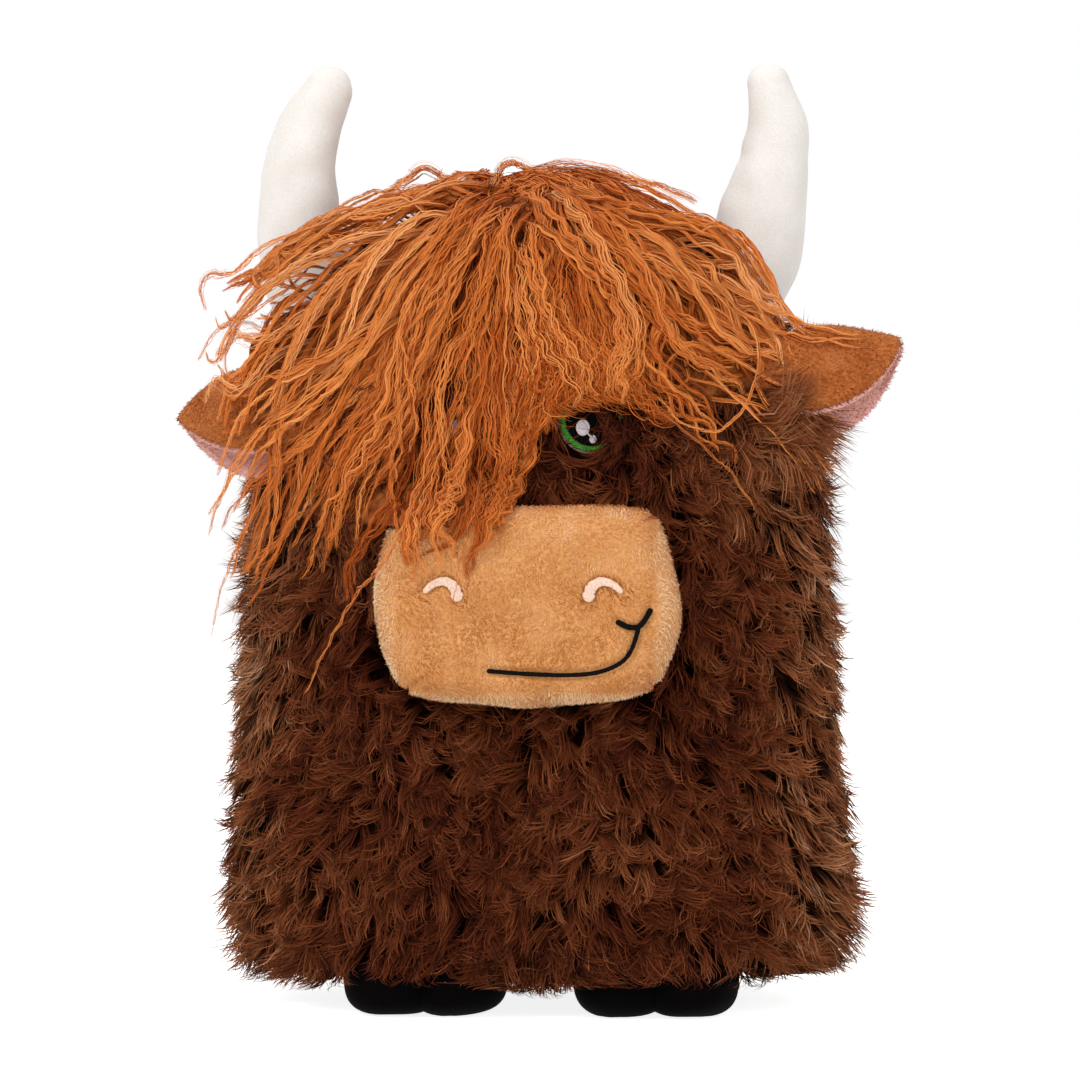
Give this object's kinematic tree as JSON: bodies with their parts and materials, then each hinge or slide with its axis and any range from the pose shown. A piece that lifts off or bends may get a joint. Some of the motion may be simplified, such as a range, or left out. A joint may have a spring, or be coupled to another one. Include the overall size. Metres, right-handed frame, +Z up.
{
  "type": "plush highland cow",
  "caption": "Free-standing stuffed highland cow: fur loaf-shaped body, boxed muzzle, horns, hinged ears, cloven feet, shaggy forelock and hanging tail.",
  "frame": {"origin": "on the floor under the middle of the toy, half way between the front of the muzzle and the back of the tail tuft", "axes": "+Z up, -Y the way the face looks, +X towards the right ear as seen by someone who faces the toy"},
  "size_m": [0.2681, 0.2026, 0.3544],
  "materials": {
    "brown_fur": "long curly pile, matt",
    "ginger_fur": "long wavy locks, silky",
    "tan_plush": "short brushed pile",
    "white_plush": "short velour pile",
    "rust_plush": "short velour pile",
    "pink_plush": "short velour pile",
    "black_plush": "smooth velour pile",
    "fibre_fill": "loose polyester fibre",
    "pale_felt": "felt",
    "green_thread": "satin stitch",
    "black_thread": "satin stitch",
    "pink_thread": "satin stitch",
    "white_thread": "satin stitch"
  },
  "bodies": {
    "body": {"front_panel": "brown_fur", "back_panel": "brown_fur", "left_side_panel": "brown_fur", "right_side_panel": "brown_fur", "crown_panel": "brown_fur", "base_panel": "brown_fur", "body_stuffing": "fibre_fill", "muzzle_cover": "tan_plush", "muzzle_stuffing": "fibre_fill", "smile": "black_thread", "nostril_left": "pink_thread", "nostril_right": "pink_thread", "eye_left_patch": "pale_felt", "eye_left_iris": "green_thread", "eye_left_pupil": "black_thread", "eye_left_glint": "white_thread", "eye_right_patch": "pale_felt", "eye_right_iris": "green_thread", "eye_right_pupil": "black_thread", "eye_right_glint": "white_thread", "horn_left_cover": "white_plush", "horn_left_stuffing": "fibre_fill", "horn_right_cover": "white_plush", "horn_right_stuffing": "fibre_fill", "hoof_front_left_cover": "black_plush", "hoof_front_left_stuffing": "fibre_fill", "hoof_front_right_cover": "black_plush", "hoof_front_right_stuffing": "fibre_fill", "hoof_rear_left_cover": "black_plush", "hoof_rear_left_stuffing": "fibre_fill", "hoof_rear_right_cover": "black_plush", "hoof_rear_right_stuffing": "fibre_fill", "forelock": "ginger_fur"},
    "ear_left": {"ear_left_outer": "rust_plush", "ear_left_lining": "pink_plush"},
    "ear_right": {"ear_right_outer": "rust_plush", "ear_right_lining": "pink_plush"},
    "tail": {"tail_tube": "brown_fur"},
    "tuft": {"tail_tuft": "ginger_fur"}
  },
  "joints": [
    {"name": "ear_left_flap", "type": "hinge", "parent": "body", "child": "ear_left", "pos_m": [-0.08516, -0.05173, 0.2184], "axis": [0.1189, 0.0851, 0.9892], "range_deg": [0, 90], "stiffness_Nm_per_rad": 0.004},
    {"name": "ear_right_flap", "type": "hinge", "parent": "body", "child": "ear_right", "pos_m": [0.08359, -0.05061, 0.23143], "axis": [0.1454, -0.0998, -0.9843], "range_deg": [-28, 75], "stiffness_Nm_per_rad": 0.004},
    {"name": "tail_lift", "type": "hinge", "parent": "body", "child": "tail", "pos_m": [0, 0.08495, 0.12191], "axis": [1, 0, 0], "range_deg": [0, 100]},
    {"name": "tuft_swing", "type": "hinge", "parent": "tail", "child": "tuft", "pos_m": [0, 0.09172, 0.05746], "axis": [0, 0.9945, 0.1045], "range_deg": [-35, 35]}
  ]
}
